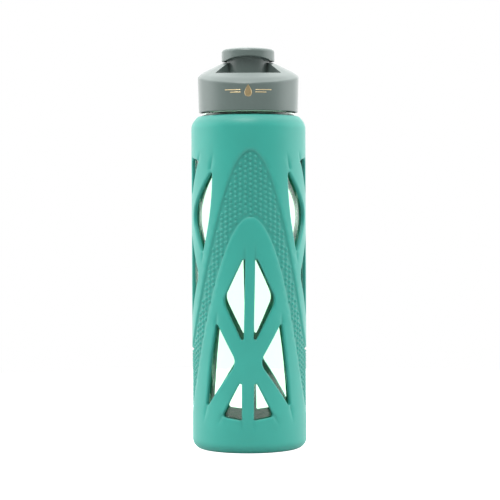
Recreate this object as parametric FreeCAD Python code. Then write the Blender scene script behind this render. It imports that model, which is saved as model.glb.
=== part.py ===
"""Glass water bottle in an openwork silicone sleeve, with a screw lid and a flip cap over its spout.

Millimetres.  +Z is up, the front is -Y, and the origin is the centre of the base on the surface that
the bottle stands on.  Each sub-part is a separate solid, written to parts/NODE.step.
"""
import FreeCAD
import Part
import math
import os

Vec = FreeCAD.Vector
UP = Vec(0, 0, 1)

# ---- Driving dimensions -------------------------------------------------------------------------
SLEEVE_R = 36.5            # outside of the sleeve
SLEEVE_TOP = 212.1
SLEEVE_WALL = 2.3
SLEEVE_FLOOR = 2.5
BASE_RECESS = 0.6          # the base's middle stands clear of the table
SLEEVE_LIP_R = 30.15       # the hole that the bottle's neck comes out of
FIT_GAP = 0.2              # between pieces that are fitted to each other

GLASS_WALL = 2.25
GLASS_FLOOR = 5.2
NECK_R = 27.2              # outside of the threaded neck
MOUTH_R = 24.6
RIM_Z = 228.0

THREAD_LEAD = 12.0         # rise in one turn
THREAD_STARTS = 2
THREAD_TURNS = 0.5         # length of each ridge
THREAD_DEPTH = 1.15
THREAD_BASE = 2.4          # axial width where a ridge joins its wall
THREAD_CREST = 1.2
THREAD_LOW_Z = 219.8       # where the bottle's ridges begin
THREAD_ENGAGE = 2.0        # how far the lid's ridges sit under the bottle's

COLLAR_BOTTOM = 214.5
COLLAR_R_LOW = 31.65
COLLAR_R_HIGH = 32.3
COLLAR_RIM_Z = 237.4       # height of the tilted rim, on the axis
RIM_TILT = 10.4            # degrees, low at the front
ROOF_SLOPE = 26.0          # degrees, of the lid's roof above the rim's plane
SHOULDER_R = 29.0          # the roof steepens outside this radius
SHOULDER_RISE = 2.5        # its height there above the rim's plane
DECK_Z = 245.9             # flat top of the roof, under the cap
SHELL_WALL = 2.0

WELL_R = 29.0              # recess for the lips, a sector that spreads from behind the spout
WELL_BACK = 5.0            # its centre, behind the spout's axis
WELL_HALF_ANGLE = 45.8
WELL_FLOOR = 233.4
LOWER_EDGE_R = 0.5

CORE_R = 30.2
CORE_TOP = 231.2
CORE_BOTTOM = 216.0
CORE_ROOF = 1.9
SPOUT_R = 13.7
SPOUT_BORE_R = 11.2
SPOUT_TOP = 252.0

CAP_R = 16.9
CAP_BOTTOM = 247.1
CAP_TOP = 255.8
CAP_INNER_R = 15.3
CAP_CEILING = 253.8
LIP_RISE_Y = -8.4          # the cap's lower edge rises forward of this line, for a thumb
LIP_SLOPE = 17.8

PIN_Y = 20.4
PIN_Z = 249.4
PIN_R = 1.25
PIN_HALF_LENGTH = 9.8
KNUCKLE_R = 2.8
CAP_KNUCKLE_HALF = 6.0
LUG_INNER_X = 6.4
LUG_OUTER_X = 10.0

# The sleeve's openwork.  Each corner is (degrees from the middle of a panel, height, corner radius).
FLIP_HEIGHT = 207.0        # a side panel is the front panel turned upside down about half of this
RIB_EDGE = 5.1             # half the width of a panel's middle rib
UPPER_OPENING = [(RIB_EDGE, 124.6, 1.0), (27.9, 95.8, 9.0), (RIB_EDGE, 68.5, 1.0)]
LOWER_OPENING = [(6.4, 46.8, 1.0), (27.2, 23.3, 1.8), (6.2, 21.2, 0.8)]
FRONT_LEAF = [(34.9, 82.6, 1.0), (11.6, 57.0, 8.0), (47.2, 27.4, 1.0), (42.5, 55.0, 300.0)]
SIDE_LEAF = [(35.3, 81.8, 1.0), (11.2, 57.5, 12.0), (48.8, 29.4, 1.0), (46.9, 56.0, 150.0)]
TWIST = 1.9                # degrees either way; the sleeve is a little wrung round the bottle
TWIST_CENTRE_Z = 85.0
TWIST_SPREAD = 45.0

# ---- Sizes that follow --------------------------------------------------------------------------
GLASS_R = SLEEVE_R - SLEEVE_WALL - FIT_GAP
GLASS_BOTTOM = SLEEVE_FLOOR + FIT_GAP
GLASS_INNER_R = GLASS_R - GLASS_WALL
SHOULDER_Z = SLEEVE_TOP - 5.6            # corner of the sleeve's shoulder, before it is rounded
NECK_BASE_R = SLEEVE_LIP_R - FIT_GAP
CORE_INNER_R = NECK_R + THREAD_DEPTH + 0.4
CORE_CEILING = CORE_TOP - CORE_ROOF


# ---- Helpers ------------------------------------------------------------------------------------
def in_section(u, v):
    """A point of a half section: u is the radius and v the height."""
    return Vec(u, 0, v)


def rounded_wire(corners, place=in_section):
    """Closed wire through corners (u, v) or (u, v, radius), each rounded by an arc of its radius."""
    edges = []
    ends = []
    count = len(corners)
    for i, corner in enumerate(corners):
        here = Vec(corner[0], corner[1], 0)
        radius = corner[2] if len(corner) > 2 else 0.0
        if radius == 0.0:
            ends.append((here, None, here))
            continue
        before = Vec(corners[i - 1][0], corners[i - 1][1], 0) - here
        after = Vec(corners[(i + 1) % count][0], corners[(i + 1) % count][1], 0) - here
        before.normalize()
        after.normalize()
        half = before.getAngle(after) / 2
        reach = radius / math.tan(half)
        inward = before + after
        inward.normalize()
        middle = here + inward * (radius / math.sin(half) - radius)
        ends.append((here + before * reach, middle, here + after * reach))
    for i, (start, middle, end) in enumerate(ends):
        if middle is not None:
            points = [place(p.x, p.y) for p in (start, middle, end)]
            edges.append(Part.Arc(*points).toShape())
        following = ends[(i + 1) % count][0]
        if end.distanceToPoint(following) > 1e-6:
            edges.append(Part.LineSegment(place(end.x, end.y), place(following.x, following.y)).toShape())
    return Part.Wire(edges)


def revolved(corners):
    """Solid of revolution about Z from a half section's corners."""
    face = Part.Face(rounded_wire(corners))
    return face.revolve(Vec(0, 0, 0), UP, 360)


def bar_along_x(radius, low_x, high_x, y=PIN_Y, z=PIN_Z):
    """Round bar parallel to X."""
    return Part.makeCylinder(radius, high_x - low_x, Vec(low_x, y, z), Vec(1, 0, 0))


def box(low, high):
    """Box between two corners."""
    return Part.makeBox(high[0] - low[0], high[1] - low[1], high[2] - low[2], Vec(*low))


def thread(wall_r, outward, low_z):
    """Helical ridges on a cylindrical wall, with tapered flanks, rooted a little inside the wall."""
    way = 1 if outward else -1
    root_r = wall_r - 0.3 * way
    crest_r = wall_r + THREAD_DEPTH * way
    height = THREAD_LEAD * THREAD_TURNS
    ridges = []
    for start in range(THREAD_STARTS):
        helix = Part.makeHelix(THREAD_LEAD, height, wall_r)
        section = Part.makePolygon([
            Vec(root_r, 0, -THREAD_BASE / 2),
            Vec(crest_r, 0, -THREAD_CREST / 2),
            Vec(crest_r, 0, THREAD_CREST / 2),
            Vec(root_r, 0, THREAD_BASE / 2),
            Vec(root_r, 0, -THREAD_BASE / 2),
        ])
        ridge = Part.Wire(helix).makePipeShell([section], True, True)
        ridge.translate(Vec(0, 0, low_z))
        ridge.rotate(Vec(0, 0, 0), UP, start * 360 / THREAD_STARTS)
        ridges.append(ridge)
    return ridges


# ---- Bottle -------------------------------------------------------------------------------------
def glass_bottle():
    """Thick-bottomed glass body, drawn in over the shoulder to a wide neck with a ridge thread."""
    body = revolved([
        (0, GLASS_BOTTOM + 1.2),
        (20.0, GLASS_BOTTOM + 1.2, 12.0),
        (25.0, GLASS_BOTTOM, 6.0),
        (GLASS_R, GLASS_BOTTOM, 5.0),
        (GLASS_R, SHOULDER_Z, 8.0),
        (NECK_BASE_R, SHOULDER_Z + 4.0, 1.5),
        (NECK_BASE_R, 214.2, 1.2),
        (NECK_R, 216.2, 1.2),
        (NECK_R, RIM_Z, 1.2),
        (MOUTH_R, RIM_Z, 1.2),
        (MOUTH_R, 213.5, 5.0),
        (GLASS_INNER_R, SHOULDER_Z - 1.5, 8.0),
        (GLASS_INNER_R, GLASS_BOTTOM + GLASS_FLOOR, 7.0),
        (0, GLASS_BOTTOM + GLASS_FLOOR),
    ])
    return body.fuse(thread(NECK_R, True, THREAD_LOW_Z))


def twist_at(z):
    """Angle that the sleeve's pattern has turned by at a height."""
    return TWIST * math.tanh((z - TWIST_CENTRE_Z) / TWIST_SPREAD)


def opening_cutter(outline, side, panel, upside_down):
    """Prism through the sleeve's wall for one opening.  side is 1 or -1, panel is in degrees."""
    points = [(side * angle, FLIP_HEIGHT - z if upside_down else z, r) for angle, z, r in outline]
    mid_angle = sum(point[0] for point in points) / len(points)
    mid_z = sum(point[1] for point in points) / len(points)
    flat = []
    for angle, z, radius in points:
        across = SLEEVE_R * math.sin(math.radians(angle - mid_angle + twist_at(z) - twist_at(mid_z)))
        flat.append((across, z, radius))
    prism = Part.Face(rounded_wire(flat)).extrude(Vec(0, 14, 0))
    prism.translate(Vec(0, -SLEEVE_R - 4, 0))
    prism.rotate(Vec(0, 0, 0), UP, panel + mid_angle + twist_at(mid_z))
    return prism


def silicone_sleeve():
    """Cup-shaped sleeve that grips the glass, cut through in four panels, every other one flipped."""
    inner_r = SLEEVE_R - SLEEVE_WALL
    body = revolved([
        (0, BASE_RECESS),
        (26.0, BASE_RECESS, 0.5),
        (27.0, 0, 0.5),
        (SLEEVE_R, 0, 6.5),
        (SLEEVE_R, 207.2, 9.0),
        (32.2, SLEEVE_TOP, 3.0),
        (SLEEVE_LIP_R, SLEEVE_TOP, 0.6),
        (SLEEVE_LIP_R, SHOULDER_Z + 4.15),
        (inner_r, SHOULDER_Z + 0.1, 8.0),
        (inner_r, SLEEVE_FLOOR, 4.8),
        (0, SLEEVE_FLOOR),
    ])
    cutters = []
    for panel in (0, 90, 180, 270):
        flipped = panel in (90, 270)
        leaf = SIDE_LEAF if flipped else FRONT_LEAF
        for outline in (UPPER_OPENING, LOWER_OPENING, leaf):
            for side in (1, -1):
                cutters.append(opening_cutter(outline, side, panel, flipped))
    return body.cut(cutters)


# ---- Lid ----------------------------------------------------------------------------------------
def under_roof(drop=0.0):
    """Everything under the lid's tilted, slightly domed roof, lowered by drop."""
    apex = SHOULDER_RISE + SHOULDER_R * math.tan(math.radians(ROOF_SLOPE))
    steepness = SHOULDER_RISE / (COLLAR_R_HIGH - SHOULDER_R)
    outside = 60.0
    roof = revolved([
        (0, apex),
        (SHOULDER_R, SHOULDER_RISE, 12.0),
        (outside, -steepness * (outside - COLLAR_R_HIGH)),
        (outside, -60.0),
        (0, -60.0),
    ])
    roof.rotate(Vec(0, 0, 0), Vec(1, 0, 0), RIM_TILT)
    roof.translate(Vec(0, 0, COLLAR_RIM_Z - drop))
    return roof


def lip_recess(widening, low, high):
    """Upright sector round the front of the spout, for the lid's recess and for the block it is cut in."""
    half_angle = WELL_HALF_ANGLE + 3 * widening
    start = Vec(0, WELL_BACK, low)
    sector = Part.makeCylinder(WELL_R + widening, high - low, start, UP, 2 * half_angle)
    sector.rotate(start, UP, -90 - half_angle)
    return sector


def hinge_lug(low_x, high_x):
    """Upright ear on the deck that holds one end of the hinge pin."""
    foot = box((low_x, PIN_Y - KNUCKLE_R, DECK_Z - 1.5), (high_x, PIN_Y + KNUCKLE_R, PIN_Z))
    return foot.fuse(bar_along_x(KNUCKLE_R, low_x, high_x))


def lid_shell():
    """Outer shell: a tapered collar with a tilted rim, a domed roof and a lip recess."""
    rim_top = 250.0
    taper = (COLLAR_R_HIGH - COLLAR_R_LOW) / (COLLAR_RIM_Z - COLLAR_BOTTOM)
    top_r = COLLAR_R_LOW + taper * (rim_top - COLLAR_BOTTOM)
    blank = Part.makeCone(COLLAR_R_LOW, top_r, rim_top - COLLAR_BOTTOM, Vec(0, 0, COLLAR_BOTTOM))
    outer = blank.common(under_roof())
    rim = [e for e in outer.Edges if abs(e.BoundBox.XLength - 2 * COLLAR_R_HIGH) < 1.0]
    rim = [e for e in rim if e.BoundBox.ZMin > COLLAR_BOTTOM + 1]
    outer = outer.makeFillet(1.8, rim)
    outer = outer.common(box((-40, -40, 200), (40, 40, DECK_Z)))

    well_block = lip_recess(1.5, CORE_TOP + 0.2, rim_top)
    spout_wall = Part.makeCylinder(SPOUT_R + 1.6, rim_top - CORE_TOP - 0.2, Vec(0, 0, CORE_TOP + 0.2))
    hollow = Part.makeCylinder(CORE_R + 0.1, rim_top - COLLAR_BOTTOM, Vec(0, 0, COLLAR_BOTTOM - 1))
    hollow = hollow.common(under_roof(SHELL_WALL))
    hollow = hollow.common(box((-40, -40, 200), (40, 40, DECK_Z - SHELL_WALL)))
    hollow = hollow.cut([well_block, spout_wall])

    well = lip_recess(0.0, WELL_FLOOR, rim_top)
    spout_hole = Part.makeCylinder(SPOUT_R + FIT_GAP, 60, Vec(0, 0, 200))
    shell = outer.cut([hollow, well, spout_hole])
    lower = [e for e in shell.Edges if e.BoundBox.ZMax < COLLAR_BOTTOM + 0.01]
    shell = shell.makeFillet(LOWER_EDGE_R, [e for e in lower if e.BoundBox.XLength > 2 * CORE_R + 1])
    shell = shell.fuse([hinge_lug(LUG_INNER_X, LUG_OUTER_X), hinge_lug(-LUG_OUTER_X, -LUG_INNER_X)])
    return shell.cut(bar_along_x(PIN_R + 0.02, -LUG_OUTER_X - 1, LUG_OUTER_X + 1))


def lid_core():
    """Inner body: a threaded skirt for the bottle's neck, a roof, and the drinking spout."""
    body = revolved([
        (SPOUT_BORE_R, CORE_CEILING, 0.8),
        (CORE_INNER_R, CORE_CEILING),
        (CORE_INNER_R, CORE_BOTTOM),
        (CORE_R, CORE_BOTTOM, 0.4),
        (CORE_R, CORE_TOP, 1.6),
        (SPOUT_R, CORE_TOP),
        (SPOUT_R, SPOUT_TOP, 1.0),
        (SPOUT_BORE_R, SPOUT_TOP, 1.0),
    ])
    return body.fuse(thread(CORE_INNER_R, False, THREAD_LOW_Z - THREAD_ENGAGE))


def lid_gasket():
    """Flat silicone ring between the glass rim and the core's roof."""
    low = RIM_Z + 0.05
    high = CORE_CEILING - 0.05
    return revolved([
        (MOUTH_R - 0.8, low, 0.3),
        (CORE_INNER_R - 0.1, low, 0.3),
        (CORE_INNER_R - 0.1, high, 0.3),
        (MOUTH_R - 0.8, high, 0.3),
    ])


def hinge_pin():
    """Steel pin with rounded ends."""
    pin = bar_along_x(PIN_R, -PIN_HALF_LENGTH, PIN_HALF_LENGTH)
    return pin.makeFillet(0.3, [e for e in pin.Edges if e.BoundBox.XLength < 0.01])


# ---- Flip cap -----------------------------------------------------------------------------------
def flip_cap():
    """Domed cap whose lower edge rises at the front, with a knuckle on the hinge pin at the back."""
    cap = revolved([
        (0, CAP_CEILING),
        (CAP_INNER_R, CAP_CEILING, 0.8),
        (CAP_INNER_R, CAP_BOTTOM),
        (CAP_R, CAP_BOTTOM, 0.4),
        (CAP_R, CAP_TOP - 1.4, 2.0),
        (9.0, CAP_TOP, 14.0),
        (0, CAP_TOP),
    ])
    reach = 20.0
    rise = reach * math.tan(math.radians(LIP_SLOPE))
    below_lip = Part.makePolygon([
        Vec(-reach, LIP_RISE_Y, CAP_BOTTOM),
        Vec(-reach, LIP_RISE_Y - reach, CAP_BOTTOM + rise),
        Vec(-reach, LIP_RISE_Y - reach, CAP_BOTTOM - 1),
        Vec(-reach, LIP_RISE_Y, CAP_BOTTOM - 1),
        Vec(-reach, LIP_RISE_Y, CAP_BOTTOM),
    ])
    cap = cap.cut(Part.Face(below_lip).extrude(Vec(2 * reach, 0, 0)))
    half = CAP_KNUCKLE_HALF
    arm = box((-half, CAP_INNER_R - 0.3, PIN_Z - 2.2), (half, PIN_Y, PIN_Z + 2.2))
    cap = cap.fuse([arm, bar_along_x(KNUCKLE_R, -half, half)])
    return cap.cut(bar_along_x(PIN_R + 0.07, -half - 1, half + 1))


def cap_plug():
    """Stopper under the cap: a flange against the cap's ceiling and a cup that enters the spout."""
    top = CAP_CEILING - 0.05
    return revolved([
        (0, SPOUT_TOP - 3.8),
        (10.0, SPOUT_TOP - 3.8, 0.6),
        (10.0, top - 0.85),
        (14.8, top - 0.85, 0.3),
        (14.8, top, 0.3),
        (8.4, top),
        (8.4, SPOUT_TOP - 2.4, 0.5),
        (0, SPOUT_TOP - 2.4),
    ])


def cap_seal():
    """Silicone ring on the plug, which seals on the spout's rim and in its bore."""
    top = CAP_CEILING - 0.95
    return revolved([
        (10.05, top),
        (10.05, SPOUT_TOP - 2.6),
        (10.75, SPOUT_TOP - 2.6, 0.25),
        (10.75, SPOUT_TOP + 0.25),
        (14.4, SPOUT_TOP + 0.25, 0.2),
        (14.4, top, 0.2),
    ])


NODES = {
    "glass_bottle": glass_bottle,
    "silicone_sleeve": silicone_sleeve,
    "lid_gasket": lid_gasket,
    "lid_core": lid_core,
    "lid_shell": lid_shell,
    "hinge_pin": hinge_pin,
    "flip_cap": flip_cap,
    "cap_plug": cap_plug,
    "cap_seal": cap_seal,
}

os.makedirs("parts", exist_ok=True)
for name, make in NODES.items():
    shape = make()
    solids = shape.Solids
    print(name, "solids", len(solids), "valid", shape.isValid(), "volume", round(shape.Volume, 1))
    shape = solids[0] if len(solids) == 1 else Part.makeCompound(solids)
    shape.exportStep("parts/" + name + ".step")
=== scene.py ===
"""Looks of the glass water bottle: the detailed silicone sleeve, materials, studio and camera."""
import math

import bmesh
import bpy
import numpy as np
from mathutils import Matrix, Vector, geometry, kdtree


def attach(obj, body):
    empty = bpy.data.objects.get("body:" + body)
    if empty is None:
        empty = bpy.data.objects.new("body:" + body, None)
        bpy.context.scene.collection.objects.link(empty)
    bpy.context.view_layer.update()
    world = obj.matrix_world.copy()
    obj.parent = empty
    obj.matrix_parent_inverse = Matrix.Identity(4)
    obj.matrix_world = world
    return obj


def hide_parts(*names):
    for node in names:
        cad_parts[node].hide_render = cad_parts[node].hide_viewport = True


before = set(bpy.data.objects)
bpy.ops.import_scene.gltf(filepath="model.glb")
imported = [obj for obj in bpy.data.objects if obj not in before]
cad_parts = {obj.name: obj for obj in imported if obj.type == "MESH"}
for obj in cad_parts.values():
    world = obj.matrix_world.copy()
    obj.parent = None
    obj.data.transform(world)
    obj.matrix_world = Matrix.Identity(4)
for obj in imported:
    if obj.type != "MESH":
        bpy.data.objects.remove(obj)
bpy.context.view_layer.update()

MM = 0.001

# ---- Sleeve, in millimetres and degrees -----------------------------------------------------------
SLEEVE_R = 36.5
INNER_R = 34.2
SLEEVE_TOP = 212.1
LIP_R = 30.15
SHEET_LOW = 7.6            # the patterned stretch of the wall, above the base's rounded corner
SHEET_HIGH = 202.0
FLIP_HEIGHT = 207.0        # a side panel is the front panel turned upside down about half of this
RIB_EDGE = 5.1             # half the width of a panel's middle rib
UPPER_OPENING = [(RIB_EDGE, 124.6, 1.0), (27.9, 95.8, 9.0), (RIB_EDGE, 68.5, 1.0)]
LOWER_OPENING = [(6.4, 46.8, 1.0), (27.2, 23.3, 1.8), (6.2, 21.2, 0.8)]
FRONT_LEAF = [(34.9, 82.6, 1.0), (11.6, 57.0, 8.0), (47.2, 27.4, 1.0), (42.5, 55.0, 300.0)]
SIDE_LEAF = [(35.3, 81.8, 1.0), (11.2, 57.5, 12.0), (48.8, 29.4, 1.0), (46.9, 56.0, 150.0)]
EDGE_ROUND = 1.1           # rounding of the openings' outer edges
CREASES = [                # shallow grooves that run on from the openings: from (angle, z) to (angle, z)
    (5.4, 121.0, 5.0, 134.0),
    (6.0, 22.0, 5.6, 12.5),
    (46.8, 28.5, 51.5, 17.0),
    (26.8, 24.0, 33.0, 16.5),
    (35.0, 82.0, 33.5, 90.0),
]
CREASE_DEPTH = 0.75        # at a crease's start; it fades to nothing at its end
CREASE_HALF = 0.9
TWIST = 1.9                # the sleeve is a little wrung round the bottle
TWIST_CENTRE_Z = 85.0
TWIST_SPREAD = 45.0

BAND_MID_Z = 106.0         # the dotted band winds up and down round the sleeve
BAND_SWING = 62.75
BAND_HALF = 19.4
BAND_HALF_SWING = 1.6
BAND_DEPTH = 1.0
BAND_EDGE = 1.0            # width of the soft step at the band's edge
DOT_COLUMNS = 72
DOT_PITCH = 3.125
DOT_TOP_Z = 187.0
DOT_R = 1.2
DOT_HEIGHT = 1.0           # as deep as the band, so that no dot stands proud of the sleeve
DOT_CROWN = 1.3            # exponent of the dot's profile
DOT_RINGS = ((0.0, 1), (0.4, 6), (0.8, 10), (DOT_R, 14))     # radius and count of each ring of points
DOT_MARGIN = 1.5

RING_POINTS = 180          # points round each plain ring
SEAM_ROWS = 197            # points up each side of the unrolled sheet's seam
SEAM_CLEAR = 0.25          # between the seam and any other point
OPENING_REACH = 45.0       # no point of an opening is as far as this from its middle
OUTER_STEP = 2.1           # between the plain points of the outer and the inner surface
INNER_STEP = 4.5
SEAM_DEG = -182.5          # behind, in the back rib, midway between two columns of dots
TURN = 2 * math.pi * SLEEVE_R
SEAM_U = math.radians(SEAM_DEG) * SLEEVE_R

# ---- Lid ------------------------------------------------------------------------------------------
COLLAR_LOW_Z = 214.5
COLLAR_LOW_R = 31.65
COLLAR_TAPER = 0.0284      # growth of the collar's radius per mm of height
MARK_Z = 226.5
FOIL_LIFT = 0.04
DROPLET_HALF = 2.5
DROPLET_HEIGHT = 7.6
DROPLET_ROWS = 24
LINE_START = 4.6
LINE_LONG = 10.4
LINE_SHORT = 7.0
LINE_HALF = 0.22

# ---- Finishes ----------------------------------------------------------------------------------------
GREY_PLASTIC = (0.130, 0.170, 0.157)
GLASS_SHADE = (0.74, 0.96, 0.89, 1)      # of lamp light that has gone through one wall of the glass
RECESS_SHADE = 0.86        # painted shading: the sleeve's colour at the bottom of the band
BROAD_MM = 14.0            # size of the slow variation in a finish

# ---- Camera and studio, in metres, degrees and watts -------------------------------------------------
CAMERA_PLACE = (0.0007, -1.170, 0.1502)
CAMERA_PITCH = -1.149
CAMERA_ROLL = -0.25
CAMERA_LENS = 131.5
WORLD_FRONT = 0.30         # strength of the world's light on the camera's side of the bottle
WORLD_BACK = 1.9           # and behind the bottle
FLOOR_R = 0.6
FLOOR_WHITE = 0.60
FLOOR_GLOW = 0.15          # for light that bounces
FLOOR_GLOW_SEEN = 1.3      # for the camera, straight or through the glass
LAMP_AIM = (0, 0, 0.13)
SIDE_PLACE = (0.80, 0.05, 0.50)          # and its mirror image
SIDE_SIZE = (0.6, 0.8)
SIDE_POWER = 1.3
KEY_PLACE = (-0.10, -0.50, 1.1)
KEY_SIZE = (0.35, 0.35)
KEY_POWER = 6.5
TOP_PLACE = (0, 0.30, 1.1)
TOP_AIM = (0, 0.10, 0)
TOP_SIZE = (1.2, 1.2)
TOP_POWER = 6.0


# ==== Plane geometry =================================================================================
def rounded_path(corners, step, closed=True):
    """Points along a path through corners (u, v, radius), each corner rounded by an arc."""
    points = []
    count = len(corners)
    for i, corner in enumerate(corners):
        here = np.array(corner[:2], float)
        radius = corner[2]
        if radius == 0:
            points.append(here)
            continue
        before = np.array(corners[i - 1][:2], float) - here
        after = np.array(corners[(i + 1) % count][:2], float) - here
        before /= np.linalg.norm(before)
        after /= np.linalg.norm(after)
        half = math.acos(np.clip(before @ after, -1, 1)) / 2
        centre = here + (before + after) / np.linalg.norm(before + after) * radius / math.sin(half)
        first = here + before * radius / math.tan(half) - centre
        turn = math.pi - 2 * half
        way = -1 if before[0] * after[1] > before[1] * after[0] else 1
        pieces = max(3, math.ceil(2 * turn * radius / step))
        for k in range(pieces + 1):
            c, s = math.cos(way * turn * k / pieces), math.sin(way * turn * k / pieces)
            points.append(centre + [c * first[0] - s * first[1], s * first[0] + c * first[1]])
    filled = []
    last = count if closed else count - 1
    for i, p in enumerate(points):
        if not closed and i == len(points) - 1:
            filled.append(p)
            break
        q = points[(i + 1) % len(points)]
        parts = max(1, round(np.linalg.norm(q - p) / step))
        filled.extend(p + (q - p) * k / parts for k in range(parts))
    return np.array(filled)


def moved_out(outline, distance):
    """A convex outline moved outwards."""
    ahead = np.roll(outline, -1, axis=0) - np.roll(outline, 1, axis=0)
    normal = np.stack([ahead[:, 1], -ahead[:, 0]], axis=1)
    normal /= np.linalg.norm(normal, axis=1)[:, None]
    if ((outline - outline.mean(axis=0)) * normal).sum() < 0:
        normal = -normal
    return outline + normal * distance


def distance_to(points, outline):
    """Distance from each point to a closed outline, 0 for the points inside it."""
    best = np.full(len(points), np.inf)
    inside = np.zeros(len(points), bool)
    for a, b in zip(outline, np.roll(outline, -1, axis=0)):
        along = b - a
        t = np.clip((points - a) @ along / (along @ along), 0, 1)
        best = np.minimum(best, np.linalg.norm(points - a - t[:, None] * along, axis=1))
        if a[1] != b[1]:
            spans = (a[1] > points[:, 1]) != (b[1] > points[:, 1])
            inside ^= spans & (points[:, 0] < a[0] + (points[:, 1] - a[1]) * along[0] / along[1])
    return np.where(inside, 0, best)


def smoothstep(x):
    """0 below 0, 1 above 1, and smooth between."""
    x = np.clip(x, 0, 1)
    return x * x * (3 - 2 * x)


# ==== The sleeve's pattern, unrolled: u is the arc length from the front, z the height ==============
def unrolled(u):
    """u brought into the sheet, which runs once round from the seam."""
    return (u - SEAM_U) % TURN + SEAM_U


def opening_outlines():
    """Outline of every opening: three shapes, mirrored, in four panels of which two are flipped."""
    outlines = []
    for panel in (0, 90, 180, 270):
        flipped = panel in (90, 270)
        leaf = SIDE_LEAF if flipped else FRONT_LEAF
        for shape in (UPPER_OPENING, LOWER_OPENING, leaf):
            for side in (1, -1):
                middle = math.radians(panel + side * sum(c[0] for c in shape) / len(shape)) * SLEEVE_R
                shift = unrolled(middle) - middle
                corners = []
                for angle, z, radius in shape:
                    u = math.radians(panel + side * angle) * SLEEVE_R + shift
                    corners.append((u, FLIP_HEIGHT - z if flipped else z, radius))
                outlines.append(rounded_path(corners, 0.8))
    return outlines


def crease_lines():
    """Both ends of every crease, laid out as the openings are."""
    lines = []
    for panel in (0, 90, 180, 270):
        for crease in CREASES:
            for side in (1, -1):
                ends = []
                for angle, z in (crease[:2], crease[2:]):
                    u = unrolled(math.radians(panel + side * angle) * SLEEVE_R)
                    ends.append((u, FLIP_HEIGHT - z if panel in (90, 270) else z))
                lines.append(np.array(ends))
    return lines


def band_at(u):
    """Middle height, half height and slope of the dotted band."""
    theta = u / SLEEVE_R
    middle = BAND_MID_Z + BAND_SWING * np.cos(2 * theta)
    half = BAND_HALF + BAND_HALF_SWING * np.cos(4 * theta)
    slope = -2 * BAND_SWING * np.sin(2 * theta) / SLEEVE_R
    return middle, half, slope


def depth_in_band(u, z):
    """Distance inside the band's nearer edge, negative outside the band."""
    middle, half, slope = band_at(u)
    return (half - np.abs(z - middle)) / np.sqrt(1 + slope ** 2)


def dot_centres():
    """Place of every raised dot: staggered columns, kept clear of the band's edges."""
    centres = []
    for column in range(DOT_COLUMNS):
        u = unrolled(column * TURN / DOT_COLUMNS)
        z = DOT_TOP_Z - (column % 2) * DOT_PITCH / 2
        while z > SHEET_LOW + DOT_R:
            if depth_in_band(u, z) > DOT_MARGIN:
                centres.append((u, z))
            z -= DOT_PITCH
    return np.array(centres)


def relief(points, outlines, dots):
    """Height of the outer surface above the plain cylinder."""
    u, z = points.T
    height = -BAND_DEPTH * smoothstep(depth_in_band(u, z) / BAND_EDGE + 0.5)
    for start, end in crease_lines():
        along = end - start
        t = np.clip((points - start) @ along / (along @ along), 0, 1)
        aside = np.linalg.norm(points - start - t[:, None] * along, axis=1)
        height -= CREASE_DEPTH * (1 - smoothstep(t)) * np.exp(-(aside / CREASE_HALF) ** 2)
    for centre in dots:
        near = np.flatnonzero((np.abs(u - centre[0]) < DOT_R) & (np.abs(z - centre[1]) < DOT_R))
        gap = ((points[near] - centre) ** 2).sum(axis=1) / DOT_R ** 2
        height[near] += DOT_HEIGHT * np.clip(1 - gap, 0, 1) ** DOT_CROWN
    for outline in outlines:
        low, high = outline.min(axis=0) - EDGE_ROUND, outline.max(axis=0) + EDGE_ROUND
        near = np.flatnonzero(((points > low) & (points < high)).all(axis=1))
        inwards = np.clip(EDGE_ROUND - distance_to(points[near], outline), 0, EDGE_ROUND)
        height[near] -= EDGE_ROUND - np.sqrt(EDGE_ROUND ** 2 - inwards ** 2)
    return height


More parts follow.
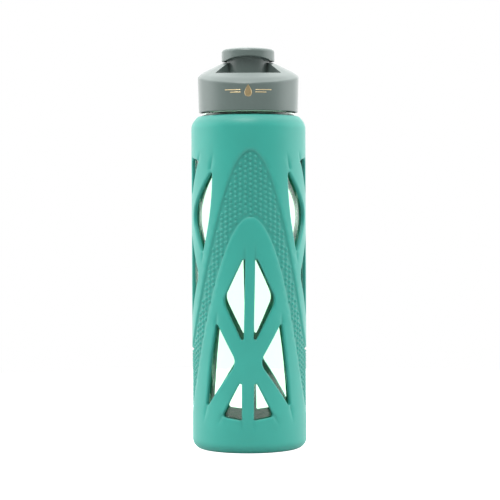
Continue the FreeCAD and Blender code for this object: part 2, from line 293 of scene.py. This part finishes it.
class Sheet:
    """Points of an unrolled sheet, gathered so that later ones keep their distance from earlier ones."""

    def __init__(self, outlines):
        self.points = []
        self.edges = []
        self.outlines = outlines
        self.rings = []
        rows = np.linspace(SHEET_LOW, SHEET_HIGH, SEAM_ROWS)
        columns = SEAM_U + np.arange(RING_POINTS + 1) * TURN / RING_POINTS
        self.left = self.add([(SEAM_U, z) for z in rows])
        self.right = self.add([(SEAM_U + TURN, z) for z in rows])
        inner_low = self.add([(u, SHEET_LOW) for u in columns[1:-1]])
        inner_high = self.add([(u, SHEET_HIGH) for u in columns[1:-1]])
        self.low = [self.left[0]] + inner_low + [self.right[0]]
        self.high = [self.left[-1]] + inner_high + [self.right[-1]]
        for line in (self.left, self.right, self.low, self.high):
            self.edges += zip(line[:-1], line[1:])
        for outline in outlines:
            ring = self.add(outline)
            self.edges += zip(ring, ring[1:] + ring[:1])
            self.rings.append(ring)

    def add(self, points):
        """Adds points as they are, and returns their numbers."""
        first = len(self.points)
        self.points.extend(tuple(p) for p in points)
        return list(range(first, len(self.points)))

    def add_clear(self, points, gap):
        """Adds those points that are inside the sheet and clear of all that it already has."""
        points = np.array(points)
        points[:, 0] = unrolled(points[:, 0])
        aside = max(gap, SEAM_CLEAR)
        keep = (points[:, 1] > SHEET_LOW + gap) & (points[:, 1] < SHEET_HIGH - gap)
        keep &= (points[:, 0] > SEAM_U + aside) & (points[:, 0] < SEAM_U + TURN - aside)
        for outline in self.outlines:
            close = (np.abs(points - outline.mean(axis=0)) < OPENING_REACH).all(axis=1)
            near = np.flatnonzero(keep & close)
            keep[near[distance_to(points[near], outline) == 0]] = False
        tree = kdtree.KDTree(len(self.points))
        for i, (u, z) in enumerate(self.points):
            tree.insert((u, z, 0), i)
        tree.balance()
        kept = [p for p in points[keep] if tree.find((p[0], p[1], 0))[2] > gap]
        return self.add(kept)

    def triangles(self):
        """Triangles over the sheet, without those in the openings, with the seam's two sides joined."""
        found = geometry.delaunay_2d_cdt([Vector(p) for p in self.points], self.edges, [], 0, 1e-5)
        source = [ids[0] for ids in found[3]]
        faces = np.array([[source[i] for i in face] for face in found[2]])
        points = np.array(self.points)
        middles = points[faces].mean(axis=1)
        keep = np.ones(len(faces), bool)
        for outline in self.outlines:
            low, high = outline.min(axis=0), outline.max(axis=0)
            near = np.flatnonzero(((middles > low) & (middles < high)).all(axis=1))
            keep[near[distance_to(middles[near], outline) == 0]] = False
        joined = np.arange(len(points))
        joined[self.right] = self.left
        return joined[faces[keep]]


def outer_sheet(outlines, dots):
    """Unrolled outer surface, with points for the rounded openings, the band's step and the dots."""
    sheet = Sheet(outlines)
    for distance in (0.08, 0.26, 0.58, EDGE_ROUND, 1.8):
        sheet.add_clear(np.concatenate([moved_out(outline, distance) for outline in outlines]), 0.05)
    u = SEAM_U
    rows = []
    while u < SEAM_U + TURN:
        middle, half, slope = band_at(u)
        lean = math.sqrt(1 + slope ** 2)
        for inset in (-0.55, -0.2, 0.15, 0.5):
            rows += [(u, middle + half - inset * lean), (u, middle - half + inset * lean)]
        u += 1.0 / lean
    sheet.add_clear(rows, 0.3)
    for radius, count in DOT_RINGS:
        for k in range(count):
            a = math.tau * k / count
            sheet.add_clear(dots + [radius * math.cos(a), radius * math.sin(a)], 0.12)
    for offset in (0, 0.7, 1.5):
        rows = []
        for start, end in crease_lines():
            across = (end - start)[::-1] * (1, -1) / np.linalg.norm(end - start)
            for side in (1, -1):
                rows += [start + (end - start) * k / 9 + across * side * offset for k in range(10)]
        sheet.add_clear(rows, 0.5)
    sheet.add_clear(plain_grid(OUTER_STEP), 1.15)
    return sheet


def plain_grid(step):
    """Staggered points all over the sheet."""
    rows = np.arange(SHEET_LOW, SHEET_HIGH, step * 0.87)
    columns = np.arange(SEAM_U, SEAM_U + TURN, step)
    return [(u + step / 2 * (i % 2), z) for i, z in enumerate(rows) for u in columns]


# ==== Meshes in space ================================================================================
def twist_at(z):
    """Angle in radians that the sleeve has turned by at a height."""
    return math.radians(TWIST) * np.tanh((z - TWIST_CENTRE_Z) / TWIST_SPREAD)


def rolled(points, height, radius):
    """Unrolled points rolled round the axis at radius + height, with the sleeve's twist."""
    u, z = np.asarray(points).T
    angle = u / SLEEVE_R + twist_at(z)
    r = radius + height
    return np.stack([r * np.sin(angle), -r * np.cos(angle), z], axis=1)


class Builder:
    """Vertices and faces of one mesh, in millimetres."""

    def __init__(self):
        self.points = []
        self.faces = []
        self.sharp = set()

    def add(self, points):
        """Adds vertices, and returns their numbers."""
        first = len(self.points)
        self.points.extend(map(tuple, points))
        return list(range(first, len(self.points)))

    def strip(self, one, other, closed=True):
        """Quads between two rows of vertices."""
        count = len(one) if closed else len(one) - 1
        for i in range(count):
            j = (i + 1) % len(one)
            self.faces.append((one[i], one[j], other[j], other[i]))

    def loft(self, first, path, angles, last=None):
        """Rings along a half section path of (r, z), from a row of vertices to an optional last row."""
        row = first
        for r, z in path:
            ring = self.add([(r * math.sin(a), -r * math.cos(a), z) for a in angles])
            self.strip(row, ring)
            row = ring
        if last is not None:
            self.strip(row, last)
        return row

    def fan(self, row, tip):
        """Closes a ring with a fan of triangles to its middle."""
        middle = self.add([tip])[0]
        for i, v in enumerate(row):
            self.faces.append((v, row[(i + 1) % len(row)], middle))

    def build(self, name):
        """The mesh as an object in metres, smooth but for its sharp edges, with its normals outwards."""
        used = sorted({v for face in self.faces for v in face})
        number = {v: i for i, v in enumerate(used)}
        mesh = bpy.data.meshes.new(name)
        places = [Vector(self.points[v]) * MM for v in used]
        mesh.from_pydata(places, [], [[number[v] for v in face] for face in self.faces])
        mesh.validate()
        for edge in mesh.edges:
            a, b = (used[v] for v in edge.vertices)
            edge.use_edge_sharp = (a, b) in self.sharp or (b, a) in self.sharp
        mesh.shade_smooth()
        obj = bpy.data.objects.new(name, mesh)
        bpy.context.scene.collection.objects.link(obj)
        bpy.context.view_layer.objects.active = obj
        outwards(obj)
        return obj


def outwards(obj):
    """Turns every face of a closed mesh to point outwards."""
    work = bmesh.new()
    work.from_mesh(obj.data)
    bmesh.ops.recalc_face_normals(work, faces=work.faces)
    work.to_mesh(obj.data)
    work.free()


def join_walls(body, outer, inner, outside, inside):
    """Closes each opening's wall with a rounded outer edge and a sharp inner one."""
    for out_ring, in_ring in zip(outer.rings, inner.rings):
        middle = body.add(rolled(np.array(outer.points)[out_ring], -EDGE_ROUND - 0.6, SLEEVE_R))
        hidden = [inside[i] for i in in_ring]
        body.strip([outside[i] for i in out_ring], middle)
        body.strip(middle, hidden)
        body.sharp.update(zip(hidden, hidden[1:] + hidden[:1]))


def close_ends(body, outer, inner, outside, inside):
    """Adds the rounded foot, the floor inside and the shoulder with its lip."""
    columns = SEAM_U + np.arange(RING_POINTS) * TURN / RING_POINTS
    low_angles, high_angles = (columns / SLEEVE_R + twist_at(z) for z in (SHEET_LOW, SHEET_HIGH))
    foot = [(SLEEVE_R, 7.0, 0), (SLEEVE_R, 0, 6.5), (27.0, 0, 0.5), (26.0, 0.6, 0.5), (3.0, 0.6, 0)]
    floor = [(INNER_R, 7.2, 0), (INNER_R, 2.5, 2.8), (3.0, 2.5, 0)]
    for vertices, sheet, path in ((outside, outer, foot), (inside, inner, floor)):
        ring = [vertices[i] for i in sheet.low[:-1]]
        last_ring = body.loft(ring, rounded_path(path, 1.6, closed=False), low_angles)
        body.fan(last_ring, (0, 0, path[-1][1]))
    over = [(SLEEVE_R, 203.0, 0), (SLEEVE_R, 207.2, 9.0), (32.2, SLEEVE_TOP, 3.0), (LIP_R, SLEEVE_TOP, 0.6),
            (LIP_R, 210.65, 0.3), (INNER_R, 206.6, 8.0), (INNER_R, 202.6, 0)]
    body.loft([outside[i] for i in outer.high[:-1]], rounded_path(over, 0.9, closed=False), high_angles,
              [inside[i] for i in inner.high[:-1]])


def make_sleeve():
    """Openwork sleeve with rounded openings, a recessed winding band and raised dots."""
    outlines = opening_outlines()
    dots = dot_centres()
    outer = outer_sheet(outlines, dots)
    inner = Sheet(outlines)
    inner.add_clear(plain_grid(INNER_STEP), 2.0)
    body = Builder()
    heights = relief(np.array(outer.points), outlines, dots)
    outside = body.add(rolled(outer.points, heights, SLEEVE_R))
    inside = body.add(rolled(inner.points, 0, INNER_R))
    body.faces += [tuple(face) for face in outer.triangles()]
    body.faces += [tuple(face + inside[0]) for face in inner.triangles()]
    join_walls(body, outer, inner, outside, inside)
    close_ends(body, outer, inner, outside, inside)
    return body.build("sleeve_detail")


# ==== The mark on the collar: a plain droplet between fine lines ====================================
def on_collar(x, z, lift):
    """A point on the collar's front, x being the arc length from the middle."""
    radius = COLLAR_LOW_R + COLLAR_TAPER * (z - COLLAR_LOW_Z)
    angle = x / radius
    return ((radius + lift) * math.sin(angle), -(radius + lift) * math.cos(angle), z)


def add_patch(body, rows):
    """A thin closed patch of foil on the collar from rows of (x, z), all of the same length."""
    fronts = [body.add([on_collar(x, z, FOIL_LIFT) for x, z in row]) for row in rows]
    backs = [body.add([on_collar(x, z, -FOIL_LIFT) for x, z in row]) for row in rows]
    for layer in (fronts, backs):
        for one, other in zip(layer, layer[1:]):
            body.strip(one, other, closed=False)
    rims = []
    for layer in (fronts, backs):
        right = [row[-1] for row in layer[1:-1]]
        left = [row[0] for row in layer[-2:0:-1]]
        rims.append(layer[0] + right + layer[-1][::-1] + left)
    body.strip(*rims)


def make_mark():
    """Gold foil droplet with two fine lines on either side."""
    body = Builder()
    rows = []
    for k in range(1, DROPLET_ROWS):
        a = math.pi * k / DROPLET_ROWS
        half = DROPLET_HALF * math.sin(a) * math.cos(a / 2) ** 1.2 * 1.25
        z = MARK_Z - DROPLET_HEIGHT * (0.46 - (1 - math.cos(a)) / 2)
        rows.append([(half * c, z) for c in np.linspace(-1, 1, 9)])
    add_patch(body, rows)
    for side in (-1, 1):
        for length, z in ((LINE_LONG, MARK_Z + 0.75), (LINE_SHORT, MARK_Z - 0.75)):
            xs = [side * (LINE_START + length * k / 14) for k in range(15)]
            add_patch(body, [[(x, z + h) for x in xs] for h in (-LINE_HALF, LINE_HALF)])
    return body.build("collar_mark")


# ==== Materials ======================================================================================
def add_noise(material, size, detail):
    """Noise with lumps of a size in mm, fixed to the object; returns its value's socket."""
    nodes, links = material.node_tree.nodes, material.node_tree.links
    place = nodes.new("ShaderNodeTexCoord")
    noise = nodes.new("ShaderNodeTexNoise")
    noise.inputs["Scale"].default_value = 1 / (size * MM)
    noise.inputs["Detail"].default_value = detail
    links.new(place.outputs["Object"], noise.inputs["Vector"])
    return noise.outputs["Fac"]


def waver_colour(material, colour, swing):
    """A base colour that drifts slowly by the fraction swing either way."""
    nodes, links = material.node_tree.nodes, material.node_tree.links
    tint = nodes.new("ShaderNodeMix")
    tint.data_type = "RGBA"
    tint.inputs[6].default_value = (*[c * (1 - swing) for c in colour], 1)
    tint.inputs[7].default_value = (*[min(1, c * (1 + swing)) for c in colour], 1)
    links.new(add_noise(material, BROAD_MM, 4), tint.inputs[0])
    links.new(tint.outputs[2], nodes["Principled BSDF"].inputs["Base Color"])


def roughen(material, roughness, swing, grain, bump):
    """Roughness that wavers, and the same grain as a bump, with sizes in mm."""
    nodes, links = material.node_tree.nodes, material.node_tree.links
    shader = nodes["Principled BSDF"]
    fine = add_noise(material, grain, 3)
    rough = nodes.new("ShaderNodeMapRange")
    rough.inputs["To Min"].default_value = max(0.0, roughness - swing)
    rough.inputs["To Max"].default_value = roughness + swing
    links.new(fine, rough.inputs["Value"])
    links.new(rough.outputs["Result"], shader.inputs["Roughness"])
    dents = nodes.new("ShaderNodeBump")
    dents.inputs["Strength"].default_value = 1.0
    dents.inputs["Distance"].default_value = bump * MM
    links.new(fine, dents.inputs["Height"])
    links.new(dents.outputs["Normal"], shader.inputs["Normal"])


def surface(name, colour, roughness, grain, bump, swing=0.06, rough_swing=0.06, **fixed):
    """Procedural finish: a base colour and roughness that waver, and a grain of that size in mm as bump.

    fixed holds values set directly on the shader's sockets, named with _ for each space.
    """
    material = bpy.data.materials.new(name)
    material.use_nodes = True
    waver_colour(material, colour, swing)
    roughen(material, roughness, rough_swing, grain, bump)
    shader = material.node_tree.nodes["Principled BSDF"]
    for socket, value in fixed.items():
        shader.inputs[socket.replace("_", " ")].default_value = value
    return material


def paint_shade_in_recesses(material):
    """Painted shade: darkens the sleeve's colour below its outermost radius, between the dots and inside
    the openings.
    """
    nodes, links = material.node_tree.nodes, material.node_tree.links
    shader = nodes["Principled BSDF"]
    colour = shader.inputs["Base Color"].links[0].from_socket
    place = nodes.new("ShaderNodeTexCoord")
    flat = nodes.new("ShaderNodeVectorMath")
    flat.operation = "MULTIPLY"
    flat.inputs[1].default_value = (1, 1, 0)
    links.new(place.outputs["Object"], flat.inputs[0])
    radius = nodes.new("ShaderNodeVectorMath")
    radius.operation = "LENGTH"
    links.new(flat.outputs["Vector"], radius.inputs[0])
    depth = nodes.new("ShaderNodeMapRange")
    depth.inputs["From Min"].default_value = (SLEEVE_R - BAND_DEPTH) * MM
    depth.inputs["From Max"].default_value = (SLEEVE_R - 0.1) * MM
    depth.inputs["To Min"].default_value = RECESS_SHADE
    depth.inputs["To Max"].default_value = 1.0
    links.new(radius.outputs["Value"], depth.inputs["Value"])
    # painted shade: the colour is multiplied down to RECESS_SHADE where the surface lies below the sleeve's
    # outer radius
    shade = nodes.new("ShaderNodeMix")
    shade.data_type = "RGBA"
    shade.blend_type = "MULTIPLY"
    shade.inputs[0].default_value = 1.0
    links.new(colour, shade.inputs[6])
    links.new(depth.outputs["Result"], shade.inputs[7])
    links.new(shade.outputs[2], shader.inputs["Base Color"])
    return material


def let_lamps_through(material):
    """Makes a glass clear to rays from lamps and from matt surfaces, so that what is behind it is lit."""
    nodes, links = material.node_tree.nodes, material.node_tree.links
    path = nodes.new("ShaderNodeLightPath")
    either = nodes.new("ShaderNodeMath")
    either.operation = "MAXIMUM"
    links.new(path.outputs["Is Shadow Ray"], either.inputs[0])
    links.new(path.outputs["Is Diffuse Ray"], either.inputs[1])
    clear = nodes.new("ShaderNodeBsdfTransparent")
    clear.inputs["Color"].default_value = GLASS_SHADE
    mix = nodes.new("ShaderNodeMixShader")
    links.new(either.outputs["Value"], mix.inputs["Fac"])
    links.new(nodes["Principled BSDF"].outputs["BSDF"], mix.inputs[1])
    links.new(clear.outputs["BSDF"], mix.inputs[2])
    links.new(mix.outputs["Shader"], nodes["Material Output"].inputs["Surface"])
    return material


def paint(obj, material):
    """Gives an object one material."""
    obj.data.materials.clear()
    obj.data.materials.append(material)


def make_glass():
    """Clear glass with a green cast."""
    glass = surface("clear_glass", (0.75, 0.97, 0.83), 0.012, 6.0, 0.01, swing=0.01, rough_swing=0.012,
                    Transmission_Weight=1.0, IOR=1.5, Specular_IOR_Level=0.15)
    return let_lamps_through(glass)


def make_teal_silicone():
    """Matt teal silicone, with painted shade darkening the sleeve's recesses."""
    silicone = surface("teal_silicone", (0.034, 0.365, 0.300), 0.46, 0.35, 0.006,
                       Sheen_Weight=0.05, Sheen_Roughness=0.5, Specular_IOR_Level=0.45)
    return paint_shade_in_recesses(silicone)


def make_materials():
    """One finish for each slot of the record, and gold foil for the mark."""
    return {
        "glass": make_glass(),
        "sleeve_silicone": make_teal_silicone(),
        "seal_silicone": surface("white_silicone", (0.74, 0.76, 0.75), 0.5, 0.4, 0.01),
        "spout_plastic": surface("grey_spout_plastic", GREY_PLASTIC, 0.32, 0.5, 0.006),
        "lid_plastic": surface("grey_lid_plastic", GREY_PLASTIC, 0.32, 0.45, 0.006),
        "cap_plastic": surface("grey_cap_plastic", GREY_PLASTIC, 0.32, 0.45, 0.006),
        "plug_plastic": surface("pale_plug_plastic", (0.5, 0.53, 0.52), 0.4, 0.5, 0.006),
        "pin_steel": surface("brushed_steel", (0.62, 0.62, 0.61), 0.28, 0.3, 0.004, Metallic=1.0),
        "gold": surface("gold_foil", (0.80, 0.62, 0.34), 0.34, 0.25, 0.004, Metallic=1.0),
    }


# ==== Studio =========================================================================================
def make_world():
    """White backdrop for the camera; light that is bright behind the object and dimmer in front."""
    world = bpy.data.worlds.new("studio")
    world.use_nodes = True
    nodes, links = world.node_tree.nodes, world.node_tree.links
    nodes.clear()
    place = nodes.new("ShaderNodeTexCoord")
    split = nodes.new("ShaderNodeSeparateXYZ")
    links.new(place.outputs["Generated"], split.inputs["Vector"])
    span = nodes.new("ShaderNodeMapRange")
    span.interpolation_type = "SMOOTHSTEP"
    span.inputs["From Min"].default_value = -0.7
    span.inputs["From Max"].default_value = 0.3
    span.inputs["To Min"].default_value = WORLD_FRONT
    span.inputs["To Max"].default_value = WORLD_BACK
    links.new(split.outputs["Y"], span.inputs["Value"])
    lighting = nodes.new("ShaderNodeBackground")
    lighting.inputs["Color"].default_value = (1, 1, 1, 1)
    links.new(span.outputs["Result"], lighting.inputs["Strength"])
    backdrop = nodes.new("ShaderNodeBackground")
    backdrop.inputs["Color"].default_value = (1, 1, 1, 1)
    path = nodes.new("ShaderNodeLightPath")
    mix = nodes.new("ShaderNodeMixShader")
    links.new(path.outputs["Is Camera Ray"], mix.inputs["Fac"])
    links.new(lighting.outputs["Background"], mix.inputs[1])
    links.new(backdrop.outputs["Background"], mix.inputs[2])
    out = nodes.new("ShaderNodeOutputWorld")
    links.new(mix.outputs["Shader"], out.inputs["Surface"])
    bpy.context.scene.world = world


def make_floor():
    """Pale round floor, which glows so that its edge can't be told from the white backdrop."""
    mesh = bpy.data.meshes.new("floor")
    rim = [(FLOOR_R * math.cos(a), FLOOR_R * math.sin(a), 0) for a in np.radians(np.arange(0, 360, 3))]
    mesh.from_pydata(rim, [], [range(len(rim))])
    floor = bpy.data.objects.new("floor", mesh)
    floor.location.z = -0.0003
    bpy.context.scene.collection.objects.link(floor)
    material = surface("white_floor", (FLOOR_WHITE,) * 3, 0.7, 3.0, 0.01, swing=0.01,
                       Emission_Color=(1, 1, 1, 1), Specular_IOR_Level=0.1)
    nodes, links = material.node_tree.nodes, material.node_tree.links
    path = nodes.new("ShaderNodeLightPath")
    seen = nodes.new("ShaderNodeMath")
    seen.operation = "MAXIMUM"
    links.new(path.outputs["Is Camera Ray"], seen.inputs[0])
    links.new(path.outputs["Is Transmission Ray"], seen.inputs[1])
    glow = nodes.new("ShaderNodeMapRange")
    glow.inputs["To Min"].default_value = FLOOR_GLOW
    glow.inputs["To Max"].default_value = FLOOR_GLOW_SEEN
    links.new(seen.outputs["Value"], glow.inputs["Value"])
    links.new(glow.outputs["Result"], nodes["Principled BSDF"].inputs["Emission Strength"])
    paint(floor, material)


def add_softbox(name, place, aim, size, power):
    """Rectangular area light aimed at a point."""
    light = bpy.data.lights.new(name, "AREA")
    light.shape = "RECTANGLE"
    light.size, light.size_y = size
    light.energy = power
    lamp = bpy.data.objects.new(name, light)
    lamp.location = place
    lamp.rotation_euler = (Vector(aim) - Vector(place)).to_track_quat("-Z", "Y").to_euler()
    bpy.context.scene.collection.objects.link(lamp)


def make_studio():
    """Soft lights at both sides, above, and above in front for the dots' highlights."""
    make_world()
    make_floor()
    for side in (-1, 1):
        place = (side * SIDE_PLACE[0], *SIDE_PLACE[1:])
        add_softbox("side_softbox", place, LAMP_AIM, SIDE_SIZE, SIDE_POWER)
    add_softbox("key_softbox", KEY_PLACE, LAMP_AIM, KEY_SIZE, KEY_POWER)
    add_softbox("top_softbox", TOP_PLACE, TOP_AIM, TOP_SIZE, TOP_POWER)
    scene = bpy.context.scene
    scene.view_settings.view_transform = "Standard"
    scene.view_settings.look = "None"


def make_camera():
    """Long lens a little above the middle of the object, looking slightly down."""
    camera = bpy.data.objects.new("camera", bpy.data.cameras.new("camera"))
    camera.data.lens = CAMERA_LENS
    camera.data.clip_start = 0.05
    turn = Matrix.Rotation(math.radians(90 + CAMERA_PITCH), 4, "X")
    roll = Matrix.Rotation(math.radians(CAMERA_ROLL), 4, "Z")
    camera.matrix_world = Matrix.Translation(CAMERA_PLACE) @ turn @ roll
    bpy.context.scene.collection.objects.link(camera)
    bpy.context.scene.camera = camera


# ==== Everything together ============================================================================
materials = make_materials()

sleeve = make_sleeve()
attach(sleeve, "root")
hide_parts("silicone_sleeve")
paint(sleeve, materials["sleeve_silicone"])

mark = make_mark()
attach(mark, "lid")
paint(mark, materials["gold"])

NODE_SLOTS = {
    "glass_bottle": "glass",
    "lid_gasket": "seal_silicone",
    "lid_core": "spout_plastic",
    "lid_shell": "lid_plastic",
    "hinge_pin": "pin_steel",
    "flip_cap": "cap_plastic",
    "cap_plug": "plug_plastic",
    "cap_seal": "seal_silicone",
}
for node, slot in NODE_SLOTS.items():
    paint(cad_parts[node], materials[slot])

make_studio()
make_camera()
